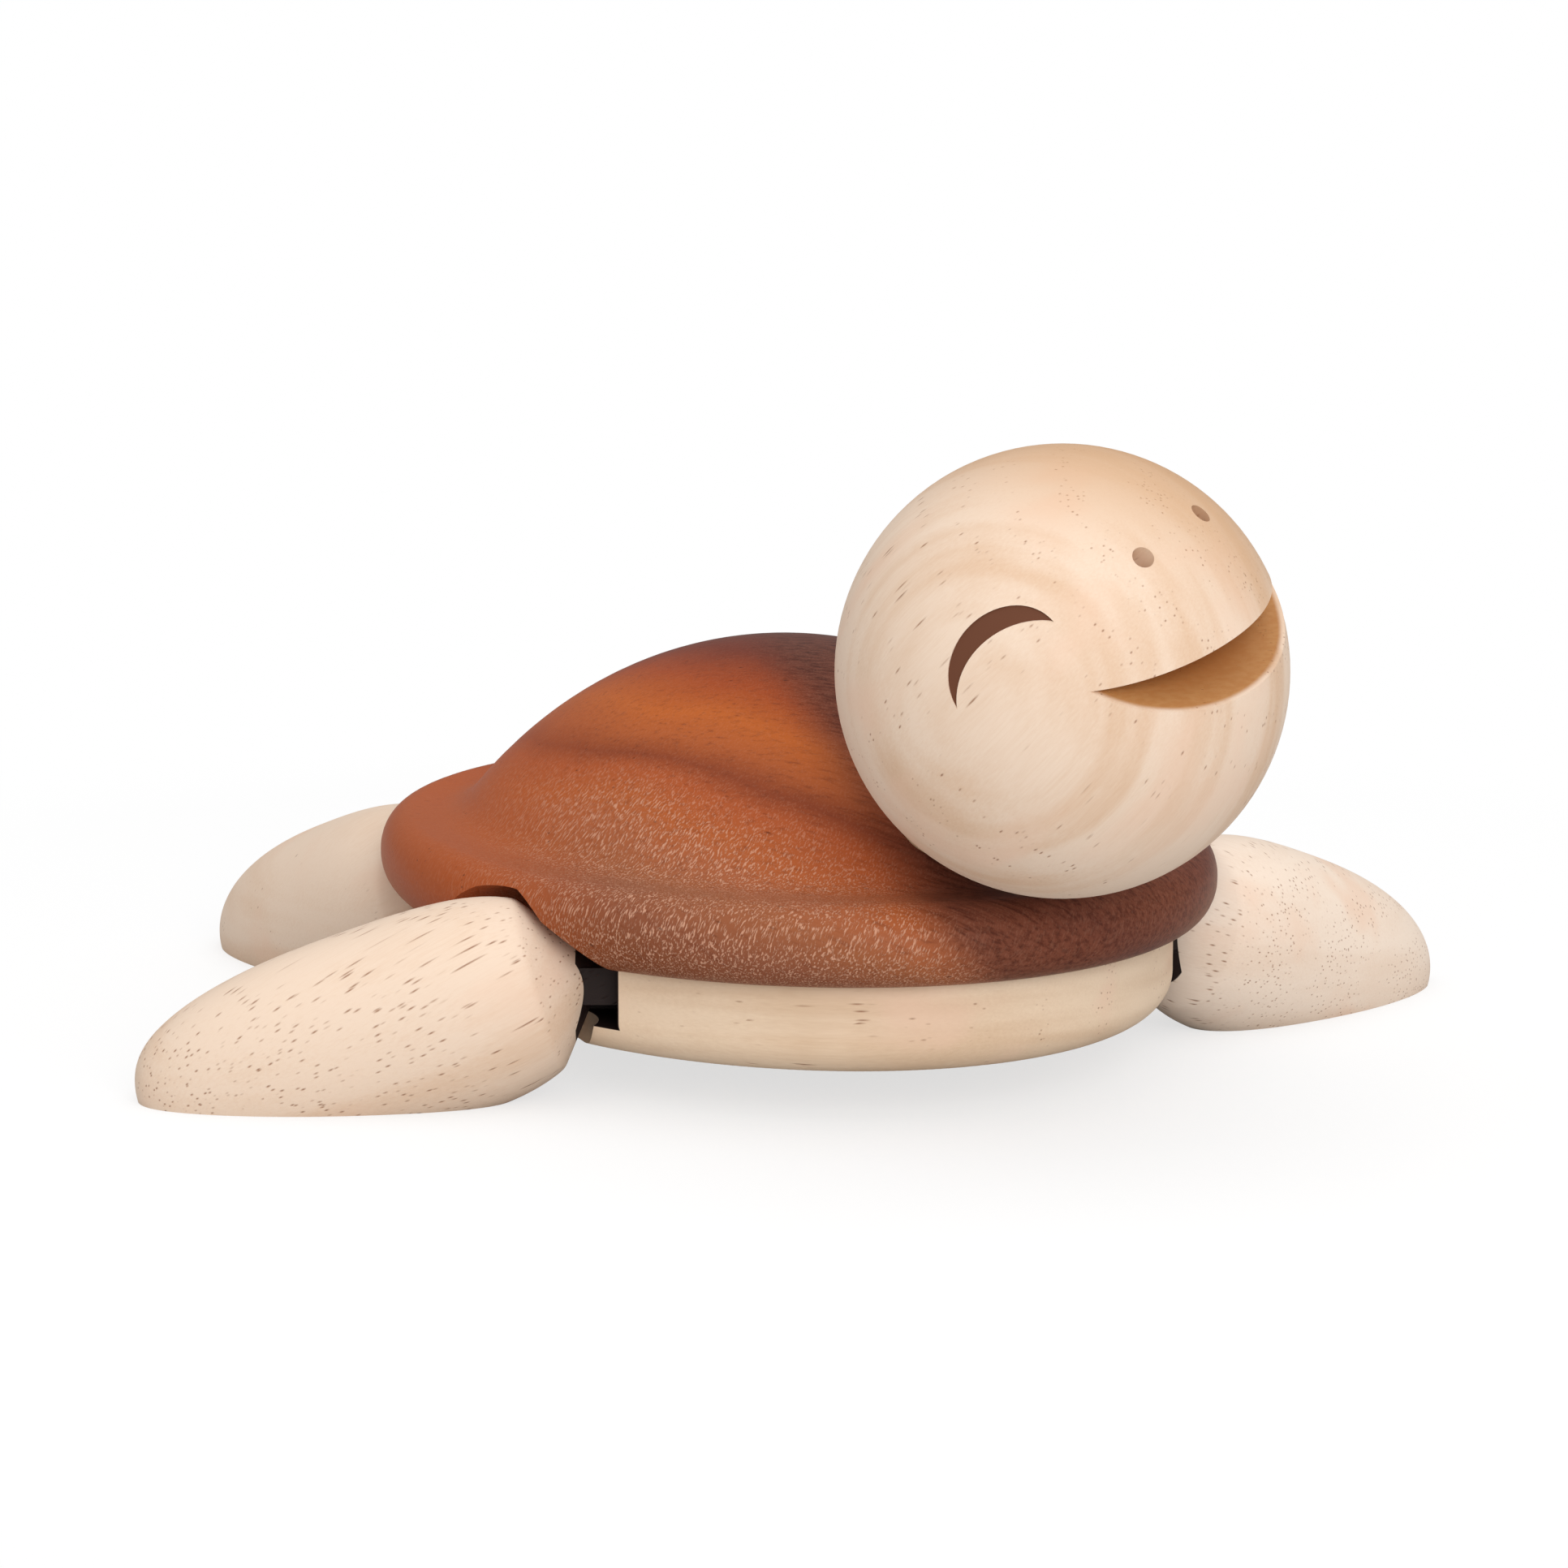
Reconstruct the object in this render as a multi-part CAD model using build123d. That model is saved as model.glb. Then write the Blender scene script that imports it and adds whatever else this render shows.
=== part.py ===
from build123d import *
from math import atan2, cos, degrees, radians, sin, tan
import os

# Turned wooden turtle: a domed shell glued on a belly plate, four flippers that swing on
# upright pins between the two, and a ball head that turns on a leaning neck dowel.
# Millimetres. X points forward, Y to the turtle's left, Z up, and the flippers stand on Z = 0.

# Shell
shell_length = 91.6
shell_width = 74.8
shell_underside = 12.8
rim_thickness = 7.4
rim_round = 3.6
dome_length = 74.0
dome_rise = 16.8
dome_blend = 5.0

# Belly plate
belly_underside = 4.6
belly_inset = 4.0
belly_edge_round = 3.2
glue_gap = 0.05

# Dowels that locate the belly plate on the shell
dowel_diameter = 5.0
dowel_depth = 4.5
dowel_pair_forward = 2.0
dowel_pair_spread = 14.0
dowel_rear_back = 33.0

# Head, with its centre where the head rests turned to the left
head_diameter = 38.6
head_forward = 48.2
head_height = 39.7
head_pitch = 19.8
head_turn = 34.9

# Face, carved in the head's own frame: forward, left, up
mouth_corner_share = 0.684
mouth_upper_shares = ((0.82, -0.070), (1.06, -0.165))
mouth_lower_shares = ((0.80, -0.215), (1.00, -0.470))
nostril_diameter = 1.9
nostril_depth = 2.6
nostril_spread = 9.6
nostril_rise = 22.0
eye_back_shares = (0.190, 0.187)
eye_front_shares = (0.654, 0.326)
eye_outer_share = (0.350, 0.475)
eye_inner_share = (0.366, 0.380)
eye_recess = 0.12
eye_thickness = 1.3

# Neck
neck_lean = 60.8
neck_offset = 6.9
neck_diameter = 8.0
neck_in_head = 12.0
neck_shoulder_depth = 31.5
neck_well_diameter = 13.0
neck_well_depth = 4.4
neck_washer_diameter = 12.0
neck_washer_thickness = 1.0
neck_washer_gap = 0.2
screw_diameter = 3.0
screw_length = 9.0
screw_head_diameter = 6.6
screw_head_height = 2.2

# Flippers
front_pivot_forward = 23.1
front_pivot_aside = 17.8
front_sweep = 23.3
front_back_swing = 4.0
front_fore_swing = 6.0
rear_pivot_back = 10.9
rear_pivot_aside = 22.1
rear_sweep = 76.5
rear_back_swing = 4.0
rear_fore_swing = 6.0
flipper_start = 9.5
flipper_length = 43.4
flipper_width = 16.6
flipper_height_share = 1.14
flipper_cone_length = 6.3
flipper_cone_width = 13.8
flipper_cone_round = 2.0
flipper_widest_at = 13.9
flipper_fullness = 2.52
flipper_station_shares = (0.25, 0.5, 0.7, 0.85, 0.95)
flipper_start_height = 12.2
flipper_tip_height = -0.7

# Knuckles in their seats, and the sockets that clear the flippers over their swing
knuckle_radius = 4.0
tongue_width = 5.0
tongue_reach = 15.0
tongue_underside = 9.0
seat_clearance = 0.8
seat_floor = 6.8
socket_clearance = 0.5
washer_thickness = 0.4
washer_gap = 0.05
washer_diameter = 7.6
pin_diameter = 3.0
pin_in_shell = 5.0
pin_in_belly = 1.4
running_gap = 0.05

overrun = 20.0

# Sizes that follow from those above
rim_top = shell_underside + rim_thickness
dome_top = rim_top + dome_rise
width_ratio = shell_width / shell_length
belly_top = shell_underside - glue_gap
head_radius = head_diameter / 2
neck_direction = Vector(cos(radians(neck_lean)), 0, sin(radians(neck_lean)))
neck_aside = Vector(sin(radians(neck_lean)), 0, -cos(radians(neck_lean)))
neck_start = Vector(head_forward, 0, head_height) - neck_aside * neck_offset
neck_axis = Axis(neck_start, neck_direction)
neck_exit = (head_radius ** 2 - neck_offset ** 2) ** 0.5
knuckle_bottom = seat_floor + washer_thickness + 2 * washer_gap
knuckle_top = shell_underside - washer_thickness - 2 * washer_gap


def neck_cylinder(diameter, start, end):
    """A cylinder on the neck's axis between two depths below the head's level."""
    top = Plane(neck_start - neck_direction * start, z_dir=-neck_direction)
    return top * Cylinder(diameter / 2, end - start, align=(Align.CENTER, Align.CENTER, Align.MIN))


def upright(diameter, bottom, top, place):
    """An upright cylinder at a place in plan."""
    rod = Cylinder(diameter / 2, top - bottom, align=(Align.CENTER, Align.CENTER, Align.MIN))
    return Pos(place[0], place[1], bottom) * rod


pivots = {
    "front_right": (front_pivot_forward, -front_pivot_aside),
    "front_left": (front_pivot_forward, front_pivot_aside),
    "rear_right": (-rear_pivot_back, -rear_pivot_aside),
    "rear_left": (-rear_pivot_back, rear_pivot_aside),
}
sweeps = {}
back_swings = {}
fore_swings = {}
for place_name in pivots:
    front = place_name.startswith("front")
    sweeps[place_name] = front_sweep if front else rear_sweep
    back_swings[place_name] = front_back_swing if front else rear_back_swing
    fore_swings[place_name] = front_fore_swing if front else rear_fore_swing
dowel_places = [
    (dowel_pair_forward, dowel_pair_spread / 2),
    (dowel_pair_forward, -dowel_pair_spread / 2),
    (-dowel_rear_back, 0),
]


def make_shell():
    """The shell: one turned outline with rim, ledge and dome, narrowed to an oval."""
    edge = shell_length / 2
    dome_edge = dome_length / 2
    dome_radius = (dome_edge ** 2 + dome_rise ** 2) / (2 * dome_rise)
    shoulder = dome_edge / 2
    shoulder_height = dome_top - dome_radius + (dome_radius ** 2 - shoulder ** 2) ** 0.5
    foot = (0, 0, shell_underside)
    rim_low = (edge, 0, shell_underside)
    rim_high = (edge, 0, rim_top)
    dome_foot = (dome_edge, 0, rim_top)
    crown = (0, 0, dome_top)
    straight = Polyline(crown, foot, rim_low, rim_high, dome_foot)
    dome = ThreePointArc(dome_foot, (shoulder, 0, shoulder_height), crown)
    outline = make_face([straight, dome])
    corners = outline.vertices().sort_by(Axis.X)
    outline = fillet(corners[-2:], rim_round)
    crease = outline.vertices().sort_by_distance(dome_foot)[0]
    outline = fillet(crease, dome_blend)
    shell = scale(revolve(outline, Axis.Z), by=(1, width_ratio, 1))
    shell -= neck_cylinder(neck_diameter + 2 * running_gap, 0, neck_shoulder_depth + overrun)
    shell -= neck_cylinder(neck_well_diameter, neck_shoulder_depth, neck_shoulder_depth + overrun)
    for place in pivots.values():
        shell -= upright(pin_diameter, 0, shell_underside + pin_in_shell, place)
    for name in pivots:
        shell -= socket(name)
    for place in dowel_places:
        shell -= upright(dowel_diameter, 0, shell_underside + dowel_depth, place)
    return shell


def make_belly_plate():
    """The belly plate, with its rounded lower edge, and a seat and socket for each flipper."""
    plan = Ellipse(shell_length / 2 - belly_inset, shell_width / 2 - belly_inset)
    plate = Pos(0, 0, belly_underside) * extrude(plan, belly_top - belly_underside)
    plate = fillet(plate.edges().group_by(Axis.Z)[0], belly_edge_round)
    for name, place in pivots.items():
        plate -= upright(2 * (knuckle_radius + seat_clearance), seat_floor, belly_top + overrun, place)
        plate -= upright(pin_diameter, seat_floor - pin_in_belly, belly_top, place)
        plate -= socket(name)
        plate -= tongue_slot(name)
    for place in dowel_places:
        plate -= upright(dowel_diameter, belly_top - dowel_depth, belly_top + overrun, place)
    plate -= neck_cylinder(neck_well_diameter, neck_shoulder_depth, neck_shoulder_depth + neck_well_depth)
    return plate


def in_head(shape):
    """Turn a shape from the head's own frame to where the head rests on the neck."""
    tilted = shape.rotate(Axis.Y, -head_pitch)
    placed = Pos(head_forward, 0, head_height) * tilted
    return placed.rotate(neck_axis, head_turn)


def eye_prism(side):
    """The crescent outline of an eye, run out sideways through the head's cheek."""
    back, front, outer, inner = [
        (forward * head_radius, 0, up * head_radius)
        for forward, up in (eye_back_shares, eye_front_shares, eye_outer_share, eye_inner_share)
    ]
    crescent = make_face([ThreePointArc(back, outer, front), ThreePointArc(front, inner, back)])
    return extrude(crescent, head_radius, dir=(0, side, 0))


def make_eye(side):
    """An eye inlay: the crescent between two spheres just under the head's surface."""
    layer = Sphere(head_radius - eye_recess) - Sphere(head_radius - eye_recess - eye_thickness)
    return in_head(layer & eye_prism(side))


def make_head():
    """The ball head with its mouth, nostrils, eye pockets and neck bore."""
    head = Sphere(head_radius)
    corner = (mouth_corner_share * head_radius, 0, 0)
    upper, upper_end, lower, lower_end = [
        (forward * head_radius, 0, up * head_radius)
        for forward, up in mouth_upper_shares + mouth_lower_shares
    ]
    wedge = make_face([
        ThreePointArc(corner, upper, upper_end),
        Line(upper_end, lower_end),
        ThreePointArc(lower_end, lower, corner),
    ])
    head -= extrude(wedge, head_radius, both=True)
    for side in (-1, 1):
        level = Vector(cos(radians(nostril_rise)), 0, sin(radians(nostril_rise)))
        reach = (head_radius ** 2 - (nostril_spread / 2) ** 2) ** 0.5
        mouth_of_hole = level * reach + Vector(0, side * nostril_spread / 2, 0)
        inward = Plane(mouth_of_hole + level * nostril_depth, z_dir=-level)
        drill = Cylinder(nostril_diameter / 2, 2 * nostril_depth,
                         align=(Align.CENTER, Align.CENTER, Align.MIN))
        head -= inward * drill
        pocket = Sphere(head_radius + overrun) - Sphere(head_radius - eye_recess - eye_thickness)
        head -= pocket & eye_prism(side)
    head = in_head(head)
    head -= neck_cylinder(neck_diameter, neck_exit - neck_in_head, neck_exit + overrun)
    return head


def flipper_sides():
    """Places along a flipper, and half its width there, from the cone's end to the widest place."""
    widest = flipper_width / 2
    cone_radius = flipper_cone_width / 2
    middle = (flipper_cone_length + flipper_widest_at) / 2
    return [
        (flipper_cone_length, cone_radius),
        (middle, cone_radius + 0.75 * (widest - cone_radius)),
        (flipper_widest_at, widest),
    ]


def almond():
    """A turned almond along X from its cone's point: half the width follows a cone, a short
    parabola up to the widest place and a superellipse down to the tip. Flat on the floor."""
    run = flipper_length - flipper_widest_at
    start = (0, 0, 0)
    tip = (flipper_length, 0, 0)
    fore = [(along, 0, half_width) for along, half_width in flipper_sides()]
    rear = [
        (flipper_widest_at + share * run, 0,
         flipper_width / 2 * (1 - share ** flipper_fullness) ** (1 / flipper_fullness))
        for share in flipper_station_shares
    ]
    outline = make_face([Line(start, fore[0]), Spline(*fore, *rear, tip), Line(tip, start)])
    outline = fillet(outline.vertices().sort_by_distance(fore[0])[0], flipper_cone_round)
    body = scale(revolve(outline, Axis.X), by=(1, 1, flipper_height_share))
    return drooped(body) - Box(4 * flipper_length, 4 * flipper_length, overrun,
                               align=(Align.CENTER, Align.CENTER, Align.MAX))


def drooped(shape):
    """Tilt a shape along X to the slope of a flipper, with its start past the pivot."""
    slope = degrees(atan2(flipper_start_height - flipper_tip_height, flipper_length))
    return Pos(flipper_start, 0, flipper_start_height) * shape.rotate(Axis.Y, slope)


def tongue(clearance=0):
    """The tongue along X that joins a knuckle to its flipper."""
    bar = Box(tongue_reach, tongue_width + 2 * clearance, knuckle_top - tongue_underside + 2 * clearance,
              align=(Align.MIN, Align.CENTER, Align.MIN))
    return Pos(0, 0, tongue_underside - clearance) * bar


def placed(shape, name, swing=0):
    """Stand a shape made along X on a flipper's pivot, swung forward from rest."""
    side = 1 if pivots[name][1] > 0 else -1
    return Pos(pivots[name][0], pivots[name][1], 0) * shape.rotate(Axis.Z, side * (90 + sweeps[name] - swing))


def socket(name):
    """A turned recess round what a flipper's inner half sweeps, and a notch with the flipper's side
    outline that opens the recess forward, past the rim."""
    side = 1 if pivots[name][1] > 0 else -1
    half_swing = radians(back_swings[name] + fore_swings[name]) / 2
    middle_swing = (fore_swings[name] - back_swings[name]) / 2
    nose = -socket_clearance
    end = flipper_widest_at + overrun
    stations = [(nose, 0)] + flipper_sides() + [(end, flipper_width / 2)]
    reach = (flipper_start + flipper_widest_at) * tan(half_swing)
    turned = [
        (along - half_width * tan(half_swing), 0,
         half_width + socket_clearance + min(reach, (flipper_start + along) * tan(half_swing)))
        for along, half_width in stations
    ]
    recess = revolve(make_face(Polyline((nose, 0, 0), *turned, (turned[-1][0], 0, 0), close=True)), Axis.X)
    heights = [
        (along, half_width * flipper_height_share + socket_clearance) for along, half_width in stations
    ]
    above = [(along, 0, height) for along, height in heights]
    below = [(along, 0, -height) for along, height in reversed(heights)]
    notch = extrude(make_face(Polyline(*above, *below, close=True)),
                    flipper_width / 2 + socket_clearance + reach, dir=(0, -side, 0))
    return [placed(drooped(form), name, middle_swing) for form in (recess, notch)]


def tongue_slot(name):
    """The slot in the belly plate that a tongue sweeps, with clearance."""
    half_swing = radians(back_swings[name] + fore_swings[name]) / 2
    middle_swing = (fore_swings[name] - back_swings[name]) / 2
    return placed(tongue(socket_clearance + tongue_reach * tan(half_swing)), name, middle_swing)


def make_flipper(name):
    """A flipper: the almond on a tongue and knuckle, bored for its pin."""
    body = placed(almond(), name) + placed(tongue(), name)
    body += upright(2 * knuckle_radius, knuckle_bottom, knuckle_top, pivots[name])
    return body - upright(pin_diameter + 2 * running_gap, 0, knuckle_top + overrun, pivots[name])


def make_washers(name):
    """The two felt washers above and below a flipper's knuckle."""
    lower = seat_floor + washer_gap
    upper = knuckle_top + washer_gap
    rings = []
    for bottom in (lower, upper):
        ring = upright(washer_diameter, bottom, bottom + washer_thickness, pivots[name])
        bore = upright(pin_diameter + 2 * running_gap, 0, dome_top, pivots[name])
        rings.append(ring - bore)
    return Compound(rings)


def make_neck_screw():
    """The screw in the foot of the neck dowel, with its pan head under the washer."""
    seat = neck_shoulder_depth + neck_washer_gap + neck_washer_thickness
    shank = neck_cylinder(screw_diameter, seat - screw_length, seat + screw_head_height)
    return shank + neck_cylinder(screw_head_diameter, seat, seat + screw_head_height)


neck_foot = neck_shoulder_depth + neck_washer_gap
neck_dowel = neck_cylinder(neck_diameter, neck_exit - neck_in_head, neck_foot)
neck_dowel -= neck_cylinder(screw_diameter, neck_foot + neck_washer_thickness - screw_length, neck_foot)
neck_washer = neck_cylinder(neck_washer_diameter, neck_foot, neck_foot + neck_washer_thickness)
neck_washer -= neck_cylinder(screw_diameter, neck_foot, neck_foot + neck_washer_thickness)

nodes = {
    "shell": make_shell(),
    "belly_plate": make_belly_plate(),
    "belly_dowels": Compound([
        upright(dowel_diameter, belly_top - dowel_depth, shell_underside + dowel_depth, place)
        for place in dowel_places
    ]),
    "head": make_head(),
    "eye_right": make_eye(-1),
    "eye_left": make_eye(1),
    "neck_dowel": neck_dowel,
    "neck_washer": neck_washer,
    "neck_screw": make_neck_screw(),
}
flippers = {"front_right": make_flipper("front_right"), "rear_right": make_flipper("rear_right")}
flippers["front_left"] = mirror(flippers["front_right"], Plane.XZ)
flippers["rear_left"] = mirror(flippers["rear_right"], Plane.XZ)
for flipper_name, pivot in pivots.items():
    nodes["flipper_" + flipper_name] = flippers[flipper_name]
    nodes["pivot_pin_" + flipper_name] = upright(
        pin_diameter, seat_floor - pin_in_belly, shell_underside + pin_in_shell, pivot)
    nodes["washers_" + flipper_name] = make_washers(flipper_name)

# Centre the whole figure over the origin and write every piece
box = Compound(list(nodes.values())).bounding_box()
centring = Pos(-(box.min.X + box.max.X) / 2, -(box.min.Y + box.max.Y) / 2, -box.min.Z)
os.makedirs("parts", exist_ok=True)
for node_name, piece in nodes.items():
    export_step(centring * piece, "parts/" + node_name + ".step")

print("shift", centring.position, "size", box.size)
print("neck axis through", neck_start + centring.position, "along", neck_direction)
for flipper_name, pivot in pivots.items():
    print("pivot", flipper_name, Vector(pivot[0], pivot[1], knuckle_bottom) + centring.position)
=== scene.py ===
import math

import bpy
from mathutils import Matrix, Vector


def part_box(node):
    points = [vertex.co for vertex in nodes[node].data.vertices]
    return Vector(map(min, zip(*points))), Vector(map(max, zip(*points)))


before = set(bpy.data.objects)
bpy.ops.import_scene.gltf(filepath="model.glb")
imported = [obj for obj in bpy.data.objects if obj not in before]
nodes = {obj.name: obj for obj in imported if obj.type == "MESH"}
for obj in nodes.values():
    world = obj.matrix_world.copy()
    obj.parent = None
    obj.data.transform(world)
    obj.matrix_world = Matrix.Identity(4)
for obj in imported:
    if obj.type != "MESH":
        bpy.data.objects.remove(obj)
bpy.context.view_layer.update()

# Camera, in metres and degrees: seen from the front, from the turtle's right and a little above
body_centre = Vector((-0.00269, 0.0, 0.0))
camera_heading = 66.0
camera_rise = 12.7
camera_distance = 0.496
camera_lens = 121.1
camera_sensor = 36.0
aim_left = 0.0009
aim_up = 0.0229

heading = math.radians(camera_heading)
rise = math.radians(camera_rise)
upward = Vector((0.0, 0.0, 1.0))
view_right = Vector((math.cos(heading), math.sin(heading), 0.0))
view_back = Vector((math.cos(rise) * math.sin(heading), -math.cos(rise) * math.cos(heading), math.sin(rise)))
view_up = view_back.cross(view_right)


def from_view(right, up, back):
    """A direction given as seen in the picture: to the right, up and towards the viewer."""
    return (right * view_right + up * view_up + back * view_back).normalized()


def colour(red, green, blue):
    """A linear colour from the display values of a swatch, 0 to 255."""
    linear = []
    for value in (red, green, blue):
        share = value / 255
        linear.append(share / 12.92 if share <= 0.04045 else ((share + 0.055) / 1.055) ** 2.4)
    return (*linear, 1.0)


# Tones
white = (1.0, 1.0, 1.0, 1.0)
cream = colour(236, 212, 190)
tan = colour(218, 180, 146)
blush = colour(236, 200, 174)
brow_tan = colour(208, 164, 122)
light_cream = colour(243, 224, 206)
light_tan = colour(226, 197, 172)
pore_brown = colour(158, 112, 84)
belly_light = colour(238, 213, 185)
belly_dark = colour(214, 181, 148)
mouth_light = colour(188, 134, 80)
mouth_dark = colour(172, 106, 50)
eye_brown = colour(106, 66, 48)
# painted shade for the gaps around the flippers' tongues, not a colour of the wood
painted_gap_shade = colour(32, 17, 13)
dowel_tan = colour(214, 178, 140)
steel_grey = colour(190, 190, 190)
felt_brown = colour(120, 86, 66)
shell_front = colour(76, 40, 32)
shell_front_light = colour(112, 66, 52)
shell_left = colour(186, 88, 36)
shell_fibre = colour(104, 48, 30)
shell_fleck = colour(218, 166, 138)
shell_pore = colour(74, 34, 22)

# Shell tones by height through the tilted layers, in millimetres
shell_layers = (
    (-6.0, colour(124, 68, 40)), (0.0, colour(138, 82, 58)), (4.0, colour(154, 92, 60)),
    (7.0, colour(164, 94, 60)), (10.0, colour(172, 92, 50)), (13.5, colour(168, 84, 46)),
    (15.5, colour(136, 66, 40)), (18.0, colour(172, 90, 48)), (21.0, colour(188, 98, 44)),
    (25.0, colour(164, 76, 38)), (29.0, colour(122, 56, 38)), (34.0, colour(104, 54, 44)),
)

# Noise scales, to the millimetre: along the grain, across it and through the layers
mm_per_metre = 1000.0
warp_scale = 0.07
band_scale = (0.006, 0.03, 0.22)
fibre_scale = (0.3, 5.0, 5.0)
blotch_scale = (0.05, 0.14, 0.14)
pore_patch_scale = (0.05, 0.3, 0.3)
mouth_streak_scale = (0.9, 0.9, 4.0)
shell_wander_scale = (0.03, 0.06, 0.05)
shell_fibre_scale = (0.14, 2.4, 2.4)
fleck_scale = (6.0, 6.0, 1.2)

# Noise values between which a mark fades in
band_fade = (0.42, 0.64)
blotch_fade = (0.5, 0.75)
pore_chance_fade = (0.0, 0.25)
mouth_streak_fade = (0.35, 0.65)
shell_fibre_fade = (0.48, 0.8)
purple_fibre_fade = (0.4, 0.68)
fleck_fade = (0.5, 0.64)

# Shares of each mark in the tone or in the relief
band_noise_share = 0.7
warp_share = 0.3
fibre_share = 0.7
fibre_relief_share = 0.35
blotch_share = 0.6
pore_patch_share = 0.9
pore_share = 0.95
mouth_streak_share = 0.35
brow_share = 0.8
shell_fibre_share = 0.6
shell_left_share = 0.6
shell_front_share = 0.9
shell_pore_share = 0.75
fleck_share = 0.75
fleck_area_share = 0.85
fleck_least_share = 0.08

# Vessel lines, in millimetres, with the reach of a line as a share of its cell
pore_width = 0.4
pore_reach = 0.32
shell_pore_length = 5.0
shell_pore_width = 0.55
shell_pore_reach = 0.28
shell_pore_density = 0.2

# Surfaces, with the depth of the relief in metres
pale_roughness = 0.62
pale_specular = 0.3
pale_relief = 0.00005
shell_roughness = 0.38
shell_specular = 0.05
shell_relief = 0.00004

# Grain of each piece, and the direction through its growth layers
head_grain = from_view(0.63, 0.64, 0.44)
head_layers = from_view(-0.39, -0.22, 0.89)
belly_grain = Vector((0.5, 0.85, 0.0))
belly_layers = Vector((0.0, 0.2, 1.0))
shell_grain = from_view(0.93, -0.36, 0.1)
shell_rise = from_view(0.37, 0.926, -0.08)

# Where the head's tones lie, in metres: depths below the ball's surface and a line under the nostrils
mouth_edge_depths = (0.0001, 0.0006)
mouth_tone_depths = (0.0005, 0.0050)
nostril_rise = from_view(-0.46, 0.89, 0.0)
nostril_fade = (0.004, 0.001)
brow_rise = from_view(0.35, 0.93, 0.0)
brow_start_share = 0.3

# Where the shell's tones lie, in millimetres
shell_wander_height = 7.0
front_way = from_view(0.85, 0.52, 0.0)
front_fade = (13.0, 19.0)
left_fade = (-14.0, -30.0)
fleck_height_fade = (16.0, 8.0)
fleck_left_fade = (-34.0, -12.0)

# Painted shade on the tongues of the flippers and on their slots in the belly plate, where the gaps lie in
# shade, in metres and degrees
shade_edge = 0.00005
tongue_half_width = 0.00255
tongue_reach = 0.0123
slot_half_width = 0.00436
slot_reach = 0.015
slot_underside = 0.00715
slot_swing = 1.0
tongue_lines = {
    "front_right": ((0.0204086, -0.0178), -113.3), "front_left": ((0.0204086, 0.0178), 113.3),
    "rear_right": ((-0.0135915, -0.0221), -166.5), "rear_left": ((-0.0135915, 0.0221), 166.5),
}

# Flippers: grain, direction through the layers, light and dark tone, length and density of the vessels
flipper_looks = {
    "front_right": (from_view(0.86, 0.48, -0.15), from_view(-0.3, 0.6, 0.75), cream, tan, 9.0, 0.85),
    "front_left": (from_view(0.9, -0.25, 0.3), from_view(0.2, 0.9, 0.3), light_cream, light_tan, 4.5, 0.75),
    "rear_right": (from_view(0.85, 0.45, 0.2), from_view(-0.2, 0.8, 0.5), cream, tan, 6.5, 0.12),
    "rear_left": (Vector((-0.97, 0.23, -0.1)), Vector((0.0, 0.3, 1.0)), cream, tan, 6.5, 0.4),
}

# Studio, in metres and watts
floor_grey = (0.58, 0.58, 0.58, 1.0)
floor_white_share = 0.68
floor_fade = (0.08, 0.17)
floor_roughness = 0.9
floor_specular = 0.1
floor_half = 6.0
ambient_strength = 0.66
mirrored_strength = 0.3
light_aim = Vector((0.0, 0.0, 0.02))
overhead_place = upward + 0.1 * view_back
overhead_size = 1.2
overhead_power = 3.7
front_place = from_view(0.22, 0.14, 0.9)
front_size = 0.6
front_power = 4.4


# Shader building
def add(tree, kind, inputs=None, **settings):
    """A new node with its settings, and with each input linked to a socket or set to a value."""
    made = tree.nodes.new(kind)
    for name, value in settings.items():
        setattr(made, name, value)
    for name, value in (inputs or {}).items():
        if isinstance(value, bpy.types.NodeSocket):
            tree.links.new(value, made.inputs[name])
        else:
            made.inputs[name].default_value = value
    return made


def maths(tree, operation, *values):
    """The result of a maths node on sockets or numbers."""
    return add(tree, "ShaderNodeMath", dict(enumerate(values)), operation=operation).outputs[0]


def times(tree, first, second):
    """The product of two sockets or numbers."""
    return maths(tree, "MULTIPLY", first, second)


def vector_maths(tree, operation, *values):
    """The vector result of a vector maths node on sockets or vectors."""
    return add(tree, "ShaderNodeVectorMath", dict(enumerate(values)), operation=operation).outputs[0]


def dot(tree, first, second):
    """The dot product of two vectors, as a number."""
    return add(tree, "ShaderNodeVectorMath", {0: first, 1: second}, operation="DOT_PRODUCT").outputs["Value"]


def length(tree, vector):
    """The length of a vector."""
    return add(tree, "ShaderNodeVectorMath", {0: vector}, operation="LENGTH").outputs["Value"]


def object_place(tree):
    """The place of a point in its own object."""
    return add(tree, "ShaderNodeTexCoord").outputs["Object"]


def stretched(tree, vector, scale):
    """A vector scaled by its own share along each axis."""
    return vector_maths(tree, "MULTIPLY", vector, scale)


def noise(tree, vector, detail=2.0, roughness=0.5, scale=1.0):
    """The value of a noise texture."""
    inputs = {"Vector": vector, "Scale": scale, "Detail": detail, "Roughness": roughness}
    return add(tree, "ShaderNodeTexNoise", inputs).outputs[0]


def centred(tree, value):
    """A noise value, moved so that its middle is zero."""
    return maths(tree, "SUBTRACT", value, 0.5)


def ramped(tree, value, low, high):
    """A smooth step from 0 at the low value to 1 at the high one."""
    inputs = {"Value": value, "From Min": low, "From Max": high}
    return add(tree, "ShaderNodeMapRange", inputs, interpolation_type="SMOOTHSTEP").outputs[0]


def mixed(tree, share, first, second):
    """Two colours mixed by a share."""
    return add(tree, "ShaderNodeMix", {0: share, 6: first, 7: second}, data_type="RGBA").outputs[2]


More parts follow.
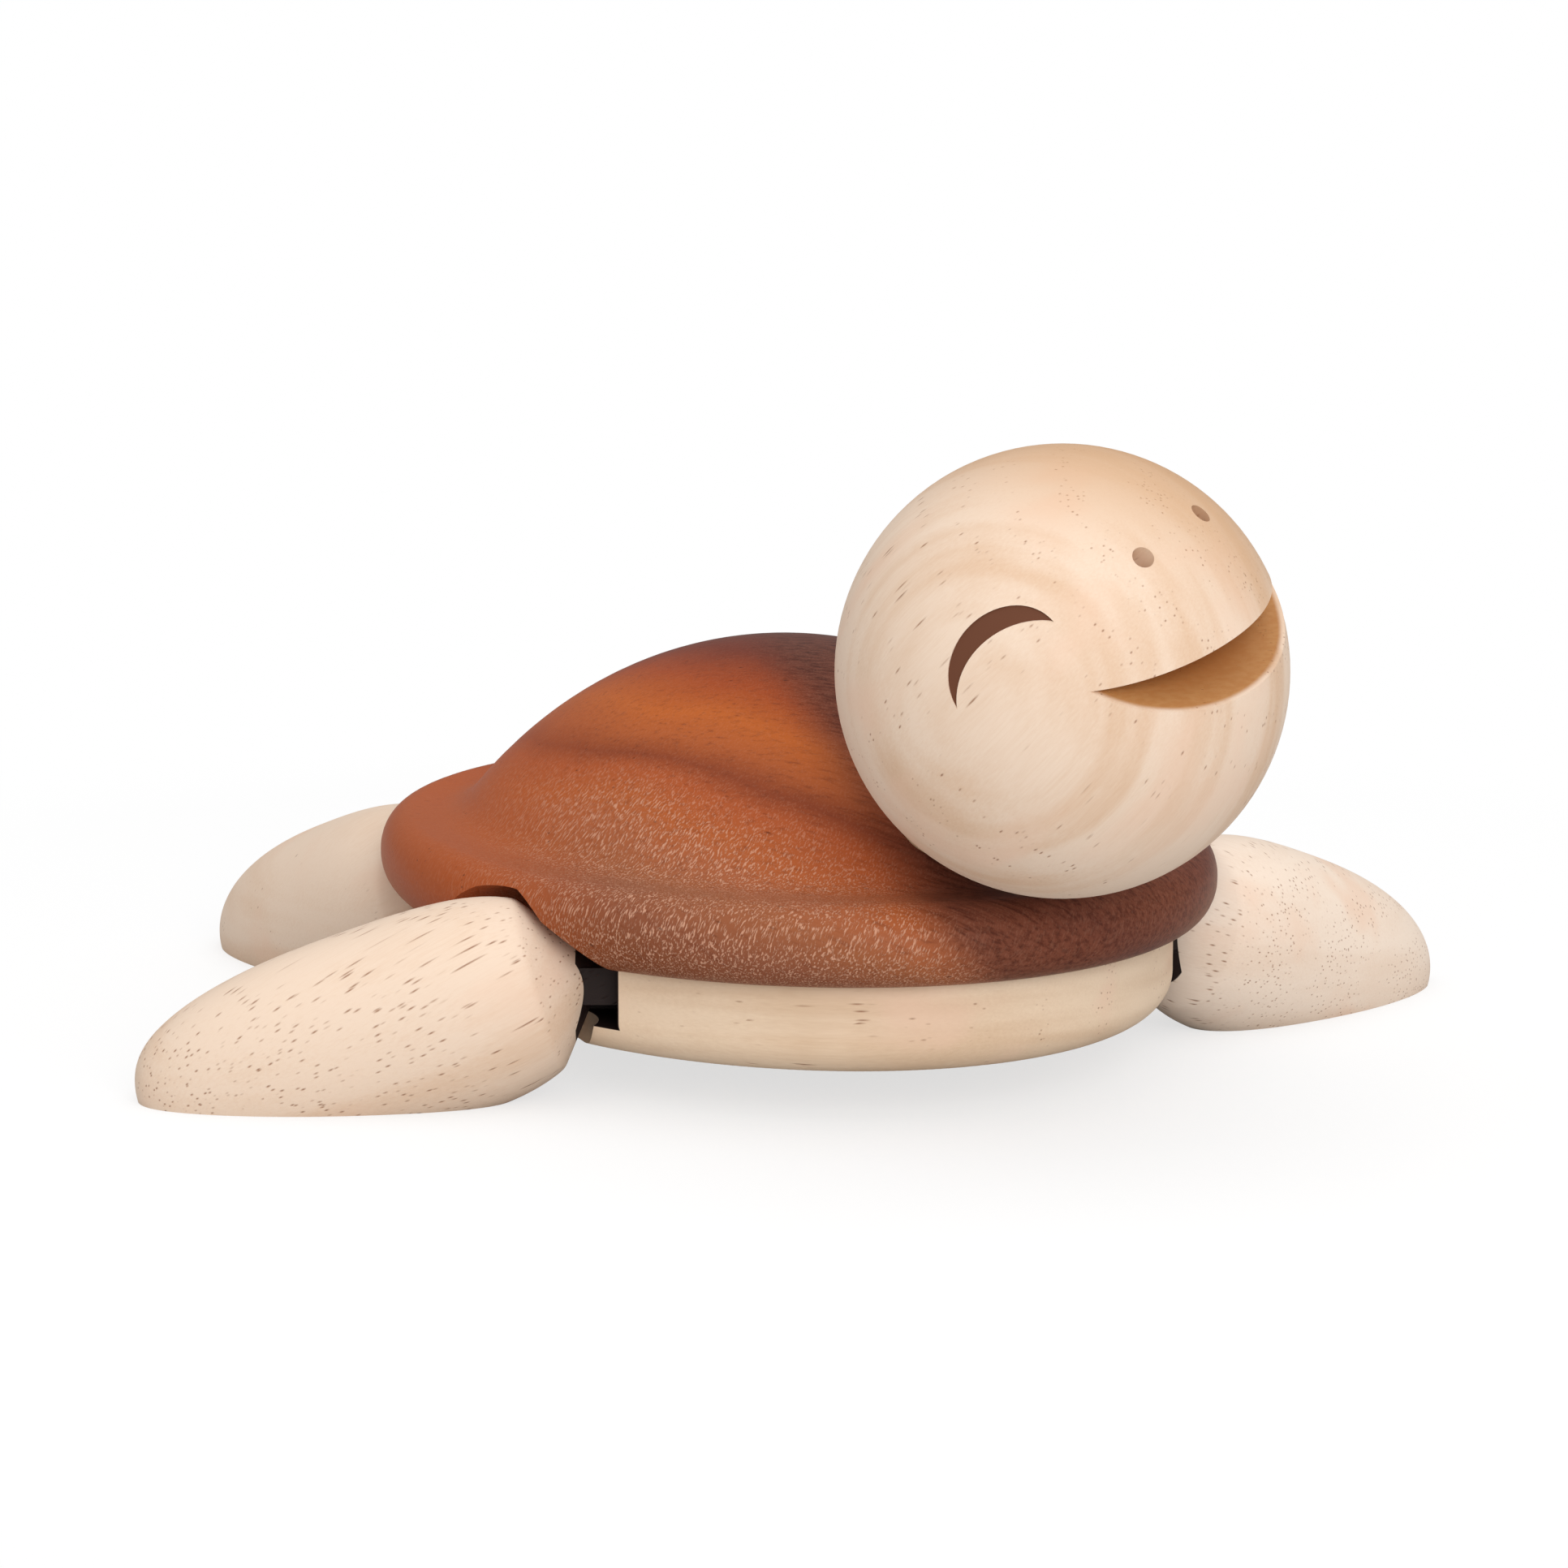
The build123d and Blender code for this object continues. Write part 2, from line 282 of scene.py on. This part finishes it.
def new_group(name, inputs, outputs):
    """An empty shader node group with its sockets, and its input and output nodes."""
    tree = bpy.data.node_groups.new(name, "ShaderNodeTree")
    for socket, kind in inputs.items():
        tree.interface.new_socket(socket, in_out="INPUT", socket_type="NodeSocket" + kind)
    for socket, kind in outputs.items():
        tree.interface.new_socket(socket, in_out="OUTPUT", socket_type="NodeSocket" + kind)
    return tree, add(tree, "NodeGroupInput").outputs, add(tree, "NodeGroupOutput").inputs


def use_group(tree, group, inputs):
    """The outputs of a node that uses a group."""
    return add(tree, "ShaderNodeGroup", inputs, node_tree=group).outputs


def make_grain_frame():
    """Millimetres along the grain, across it and through the growth layers, from a piece's own place."""
    tree, given, result = new_group(
        "grain frame", {"Along": "Vector", "Layers": "Vector", "Centre": "Vector"}, {"Vector": "Vector"})
    place = vector_maths(tree, "SUBTRACT", object_place(tree), given["Centre"])
    place = stretched(tree, place, (mm_per_metre, mm_per_metre, mm_per_metre))
    across = vector_maths(tree, "CROSS_PRODUCT", given["Layers"], given["Along"])
    parts = {"X": dot(tree, place, given["Along"]), "Y": dot(tree, place, across),
             "Z": dot(tree, place, given["Layers"])}
    tree.links.new(add(tree, "ShaderNodeCombineXYZ", parts).outputs[0], result["Vector"])
    return tree


def make_pores():
    """Short dark vessel lines along the grain: how much of a vessel lies at each place."""
    tree, given, result = new_group(
        "pores",
        {"Vector": "Vector", "Length": "Float", "Width": "Float", "Reach": "Float", "Density": "Float"},
        {"Mask": "Float"})
    patches = noise(tree, stretched(tree, given["Vector"], pore_patch_scale))
    lengthways = maths(tree, "DIVIDE", 1.0, given["Length"])
    sideways = maths(tree, "DIVIDE", 1.0, given["Width"])
    scale = add(tree, "ShaderNodeCombineXYZ", {"X": lengthways, "Y": sideways, "Z": sideways}).outputs[0]
    cell_place = stretched(tree, given["Vector"], scale)
    cells = add(tree, "ShaderNodeTexVoronoi", {"Vector": cell_place, "Scale": 1.0})
    near = maths(tree, "SUBTRACT", 1.0, ramped(tree, cells.outputs["Distance"], 0.0, given["Reach"]))
    chance = add(tree, "ShaderNodeSeparateColor", {"Color": cells.outputs["Color"]}).outputs[0]
    wanted = maths(tree, "ADD", given["Density"], times(tree, centred(tree, patches), pore_patch_share))
    kept = ramped(tree, maths(tree, "SUBTRACT", wanted, chance), *pore_chance_fade)
    tree.links.new(times(tree, near, kept), result["Mask"])
    return tree


def make_pale_wood():
    """Pale close-grained wood: soft growth bands, fine fibres, blotches and brown vessel lines."""
    tree, given, result = new_group(
        "pale wood",
        {"Vector": "Vector", "Light": "Color", "Dark": "Color", "Blush": "Color", "Pore": "Color",
         "Bands": "Float", "Pore length": "Float", "Pore density": "Float"},
        {"Color": "Color", "Height": "Float"})
    place = given["Vector"]
    warp = noise(tree, place, detail=3.0, scale=warp_scale)
    bands = noise(tree, stretched(tree, place, band_scale), detail=3.0, roughness=0.6)
    bands = maths(tree, "ADD", times(tree, bands, band_noise_share), times(tree, warp, warp_share))
    bands = times(tree, ramped(tree, bands, *band_fade), given["Bands"])
    fibres = noise(tree, stretched(tree, place, fibre_scale), detail=3.0, roughness=0.65)
    tone = maths(tree, "ADD", bands, times(tree, centred(tree, fibres), fibre_share))
    wood = mixed(tree, tone, given["Light"], given["Dark"])
    blotches = ramped(tree, noise(tree, stretched(tree, place, blotch_scale)), *blotch_fade)
    wood = mixed(tree, times(tree, blotches, blotch_share), wood, given["Blush"])
    pores = use_group(tree, pore_lines,
                      {"Vector": place, "Length": given["Pore length"], "Width": pore_width,
                       "Reach": pore_reach, "Density": given["Pore density"]})["Mask"]
    wood = mixed(tree, times(tree, pores, pore_share), wood, given["Pore"])
    height = maths(tree, "SUBTRACT", times(tree, fibres, fibre_relief_share), pores)
    tree.links.new(wood, result["Color"])
    tree.links.new(height, result["Height"])
    return tree


grain_frame = make_grain_frame()
pore_lines = make_pores()
pale_figure = make_pale_wood()


# Materials
def new_material(name):
    """An empty material, its node tree and its surface shader."""
    material = bpy.data.materials.new(name)
    material.use_nodes = True
    return material, material.node_tree, material.node_tree.nodes["Principled BSDF"]


def finish_surface(tree, shader, tint, height, depth, roughness, specular):
    """Link a colour and a relief height, with its depth in metres, to a surface shader."""
    tree.links.new(tint, shader.inputs["Base Color"])
    bump = add(tree, "ShaderNodeBump", {"Height": height, "Strength": 1.0, "Distance": depth})
    tree.links.new(bump.outputs[0], shader.inputs["Normal"])
    shader.inputs["Roughness"].default_value = roughness
    shader.inputs["Specular IOR Level"].default_value = specular


def grained(tree, along, layers, centre):
    """Grain coordinates for a grain direction and a direction through the growth layers."""
    straight = along.normalized()
    square = (layers - layers.dot(straight) * straight).normalized()
    return use_group(tree, grain_frame, {"Along": straight, "Layers": square, "Centre": centre})["Vector"]


def pale_wood(name, along, layers, centre, light=cream, dark=tan, bands=0.4, pore_length=6.5,
              pore_density=0.4):
    """A material of pale wood with its own grain direction and tones."""
    material, tree, shader = new_material(name)
    place = grained(tree, along, layers, centre)
    wood = use_group(tree, pale_figure,
                     {"Vector": place, "Light": light, "Dark": dark, "Blush": blush, "Pore": pore_brown,
                      "Bands": bands, "Pore length": pore_length, "Pore density": pore_density})
    finish_surface(tree, shader, wood["Color"], wood["Height"], pale_relief, pale_roughness, pale_specular)
    return material


def paint_gap_shade(material, names, half_width, reach, underside=0.0, swing=0.0):
    """Paint dark shade on the wood along the tongues of flippers, above an underside and up to a reach from
    the pivot, so that the gaps read as shaded.
    """
    tree = material.node_tree
    shader = tree.nodes["Principled BSDF"]
    wood = shader.inputs["Base Color"].links[0].from_socket
    spot = object_place(tree)
    for name in names:
        pivot, turn = tongue_lines[name]
        turn = math.radians(turn - math.copysign(swing, turn))
        along = Vector((math.cos(turn), math.sin(turn), 0.0))
        middle = Vector((*pivot, underside)) + reach / 2 * along
        place = vector_maths(tree, "SUBTRACT", spot, middle)
        aside = maths(tree, "ABSOLUTE", dot(tree, place, along.cross(upward)))
        lengthways = maths(tree, "ABSOLUTE", dot(tree, place, along))
        near_line = ramped(tree, aside, half_width + shade_edge, half_width)
        near_pivot = ramped(tree, lengthways, reach / 2 + shade_edge, reach / 2)
        above = ramped(tree, dot(tree, place, upward), -shade_edge, 0.0)
        # painted shade over the tongue or slot, standing in for the dark gap
        painted_shade = times(tree, times(tree, near_line, near_pivot), above)
        wood = mixed(tree, painted_shade, wood, painted_gap_shade)
    tree.links.new(wood, shader.inputs["Base Color"])
    return material


def head_wood(centre, radius):
    """The head's pale wood, browner on the brow and on the cut faces inside the mouth."""
    material = pale_wood("head wood", head_grain, head_layers, centre, bands=0.75, pore_length=3.6,
                         pore_density=0.3)
    tree = material.node_tree
    shader = tree.nodes["Principled BSDF"]
    skin = shader.inputs["Base Color"].links[0].from_socket
    place = vector_maths(tree, "SUBTRACT", object_place(tree), centre)
    reach = length(tree, place)
    inside = ramped(tree, reach, *(radius - depth for depth in mouth_edge_depths))
    below_nostrils = ramped(tree, dot(tree, place, nostril_rise), *nostril_fade)
    inside = times(tree, inside, below_nostrils)
    deep = ramped(tree, reach, *(radius - depth for depth in mouth_tone_depths))
    streaks = noise(tree, stretched(tree, place, mm_per_metre * Vector(mouth_streak_scale)))
    cut = mixed(tree, deep, mouth_light, mouth_dark)
    streaks = times(tree, ramped(tree, streaks, *mouth_streak_fade), mouth_streak_share)
    cut = mixed(tree, streaks, cut, mouth_dark)
    brow = ramped(tree, dot(tree, place, brow_rise), brow_start_share * radius, radius)
    skin = mixed(tree, times(tree, brow, brow_share), skin, brow_tan)
    tree.links.new(mixed(tree, inside, skin, cut), shader.inputs["Base Color"])
    return material


def layered(tree, level):
    """The shell's tone at a height through its layers."""
    lowest = shell_layers[0][0]
    highest = shell_layers[-1][0]
    limits = {"Value": level, "From Min": lowest, "From Max": highest}
    share = add(tree, "ShaderNodeMapRange", limits).outputs[0]
    ramp = add(tree, "ShaderNodeValToRGB", {"Fac": share})
    stops = ramp.color_ramp.elements
    stops[0].color = shell_layers[0][1]
    stops[1].color = shell_layers[-1][1]
    for height, tone in shell_layers[1:-1]:
        stops.new((height - lowest) / (highest - lowest)).color = tone
    return ramp.outputs["Color"]


def shell_wood():
    """Oiled red-brown wood: tilted flame-coloured layers, a purple-brown front and fine pale flecks."""
    material, tree, shader = new_material("shell wood")
    place = grained(tree, shell_grain, shell_rise, body_centre)
    wander = noise(tree, stretched(tree, place, shell_wander_scale), detail=3.0)
    wander = times(tree, centred(tree, wander), shell_wander_height)
    level = maths(tree, "ADD", add(tree, "ShaderNodeSeparateXYZ", {"Vector": place}).outputs["Z"], wander)
    wood = layered(tree, level)
    fibres = noise(tree, stretched(tree, place, shell_fibre_scale), detail=4.0, roughness=0.7)
    dark_fibres = times(tree, ramped(tree, fibres, *shell_fibre_fade), shell_fibre_share)
    wood = mixed(tree, dark_fibres, wood, shell_fibre)

    spot = vector_maths(tree, "SUBTRACT", object_place(tree), body_centre)
    rightward = times(tree, dot(tree, spot, view_right), mm_per_metre)
    left = ramped(tree, maths(tree, "ADD", rightward, wander), *left_fade)
    wood = mixed(tree, times(tree, left, shell_left_share), wood, shell_left)
    forward = times(tree, dot(tree, spot, front_way), mm_per_metre)
    front = ramped(tree, maths(tree, "ADD", forward, wander), *front_fade)
    purple = mixed(tree, ramped(tree, fibres, *purple_fibre_fade), shell_front_light, shell_front)
    wood = mixed(tree, times(tree, front, shell_front_share), wood, purple)

    where = times(tree, ramped(tree, level, *fleck_height_fade), maths(tree, "SUBTRACT", 1.0, front))
    where = times(tree, where, ramped(tree, rightward, *fleck_left_fade))
    where = maths(tree, "ADD", times(tree, where, fleck_area_share), fleck_least_share)
    flecks = noise(tree, stretched(tree, place, fleck_scale), roughness=0.6)
    flecks = times(tree, ramped(tree, flecks, *fleck_fade), where)
    wood = mixed(tree, times(tree, flecks, fleck_share), wood, shell_fleck)
    pores = use_group(tree, pore_lines,
                      {"Vector": place, "Length": shell_pore_length, "Width": shell_pore_width,
                       "Reach": shell_pore_reach, "Density": shell_pore_density})["Mask"]
    wood = mixed(tree, times(tree, pores, shell_pore_share), wood, shell_pore)
    relief = maths(tree, "SUBTRACT", flecks, pores)
    finish_surface(tree, shader, wood, relief, shell_relief, shell_roughness, shell_specular)
    return material


def plain(name, tint, roughness, metallic=0.0, specular=0.5):
    """A plain material."""
    material, tree, shader = new_material(name)
    shader.inputs["Base Color"].default_value = tint
    shader.inputs["Roughness"].default_value = roughness
    shader.inputs["Metallic"].default_value = metallic
    shader.inputs["Specular IOR Level"].default_value = specular
    return material


def dress(names, material):
    """Give CAD nodes a material."""
    for name in names:
        nodes[name].data.materials.clear()
        nodes[name].data.materials.append(material)


for flipper, (grain, layers, light, dark, pore_length, pore_density) in flipper_looks.items():
    low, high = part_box("flipper_" + flipper)
    flipper_wood = pale_wood("flipper wood " + flipper, grain, layers, (low + high) / 2, light, dark,
                             pore_length=pore_length, pore_density=pore_density)
    dress(["flipper_" + flipper], paint_gap_shade(flipper_wood, [flipper], tongue_half_width, tongue_reach))
low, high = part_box("head")
dress(["head"], head_wood((low + high) / 2, (high.z - low.z) / 2))
belly_wood = pale_wood("belly wood", belly_grain, belly_layers, body_centre, belly_light, belly_dark,
                       bands=0.7, pore_length=5.0, pore_density=0.2)
# the belly plate's slots get painted shade as well
dress(["belly_plate"],
      paint_gap_shade(belly_wood, tongue_lines, slot_half_width, slot_reach, slot_underside, slot_swing))
dress(["shell"], shell_wood())
dress(["eye_right", "eye_left"], plain("eye wood", eye_brown, roughness=0.7, specular=0.1))
dress(["belly_dowels", "neck_dowel"], plain("dowel wood", dowel_tan, roughness=0.6))
pins = [name for name in nodes if name.startswith("pivot_pin")]
dress(pins + ["neck_washer", "neck_screw"], plain("steel", steel_grey, roughness=0.35, metallic=1.0))
felts = [name for name in nodes if name.startswith("washers")]
dress(felts, plain("felt", felt_brown, roughness=0.95))


# Floor, light and camera
def studio_floor():
    """A white floor that takes a light shadow near the figure and runs out to an even white. Only
    the camera sees its white share, so that the figure's underside stays in shade."""
    material, tree, shader = new_material("floor")
    seen_share = add(tree, "ShaderNodeLightPath").outputs["Is Camera Ray"]
    tree.links.new(mixed(tree, seen_share, floor_grey, white), shader.inputs["Base Color"])
    shader.inputs["Roughness"].default_value = floor_roughness
    shader.inputs["Specular IOR Level"].default_value = floor_specular
    reach = length(tree, object_place(tree))
    glow = add(tree, "ShaderNodeEmission", {"Color": white, "Strength": 1.0})
    share = maths(tree, "MAXIMUM", ramped(tree, reach, *floor_fade), floor_white_share)
    share = times(tree, share, seen_share)
    blend = add(tree, "ShaderNodeMixShader", {0: share, 1: shader.outputs[0], 2: glow.outputs[0]})
    tree.links.new(blend.outputs[0], tree.nodes["Material Output"].inputs["Surface"])
    return material


floor_mesh = bpy.data.meshes.new("floor")
corners = [(-floor_half, -floor_half, 0), (floor_half, -floor_half, 0), (floor_half, floor_half, 0),
           (-floor_half, floor_half, 0)]
floor_mesh.from_pydata(corners, [], [(0, 1, 2, 3)])
floor = bpy.data.objects.new("floor", floor_mesh)
bpy.context.scene.collection.objects.link(floor)
floor_mesh.materials.append(studio_floor())

world = bpy.data.worlds.new("studio")
bpy.context.scene.world = world
world.use_nodes = True
sky = world.node_tree
background = sky.nodes["Background"]
background.inputs["Color"].default_value = white
path = add(sky, "ShaderNodeLightPath").outputs
seen_extra = times(sky, path["Is Camera Ray"], 1.0 - ambient_strength)
strength = maths(sky, "ADD", seen_extra, ambient_strength)
dimmed = times(sky, path["Is Glossy Ray"], ambient_strength - mirrored_strength)
sky.links.new(maths(sky, "SUBTRACT", strength, dimmed), background.inputs["Strength"])


def softbox(name, place, size, power):
    """A square area light that faces the figure."""
    data = bpy.data.lights.new(name, "AREA")
    data.size = size
    data.energy = power
    lamp = bpy.data.objects.new(name, data)
    lamp.location = place
    lamp.rotation_euler = (light_aim - place).to_track_quat("-Z", "Y").to_euler()
    bpy.context.scene.collection.objects.link(lamp)


softbox("overhead", overhead_place, overhead_size, overhead_power)
softbox("front", front_place, front_size, front_power)

camera_data = bpy.data.cameras.new("camera")
camera_data.lens = camera_lens
camera_data.sensor_width = camera_sensor
camera = bpy.data.objects.new("camera", camera_data)
camera.location = body_centre + camera_distance * view_back
aim = body_centre - aim_left * view_right + aim_up * view_up
camera.rotation_euler = (aim - camera.location).to_track_quat("-Z", "Y").to_euler()
bpy.context.scene.collection.objects.link(camera)
bpy.context.scene.camera = camera
bpy.context.scene.view_settings.view_transform = "Standard"
